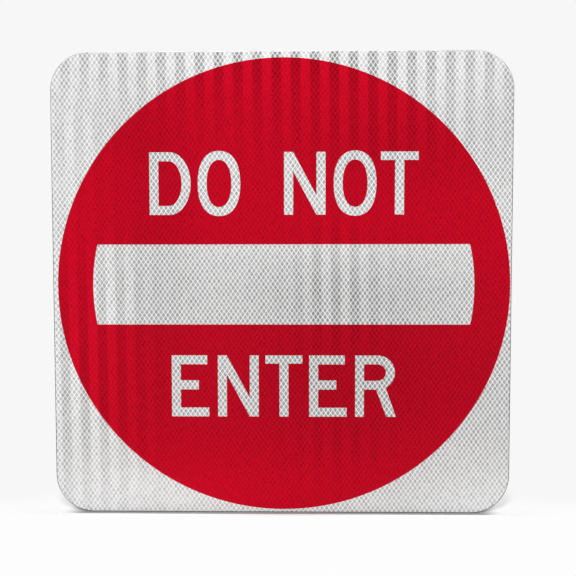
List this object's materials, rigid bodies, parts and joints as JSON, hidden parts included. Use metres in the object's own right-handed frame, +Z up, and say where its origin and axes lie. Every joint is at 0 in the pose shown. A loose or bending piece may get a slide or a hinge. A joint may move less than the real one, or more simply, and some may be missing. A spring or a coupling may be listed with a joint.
{
  "type": "no entry sign",
  "caption": "Flat square road sign with rounded corners: a red disc crossed by a level white bar, on reflective sheeting over a thin metal blank.",
  "frame": {"origin": "middle of the blank's flat back face", "axes": "+Z up, +X to the right as a reader sees the sign, the printed front faces -Y and the back face faces +Y"},
  "size_m": [0.4572, 0.0021, 0.4604],
  "materials": {
    "mill_aluminium": "mill finish with a faint straight rolling grain, sheared and deburred edges",
    "white_prismatic_sheeting": "smooth glossy clear face over grey-white prismatic cells in a fine white diamond lattice",
    "red_clear_film": "smooth glossy clear red film, the cells of the sheeting showing through it"
  },
  "bodies": {
    "root": {"sign_blank": "mill_aluminium", "white_sheeting": "white_prismatic_sheeting", "red_film": "red_clear_film"}
  },
  "joints": []
}
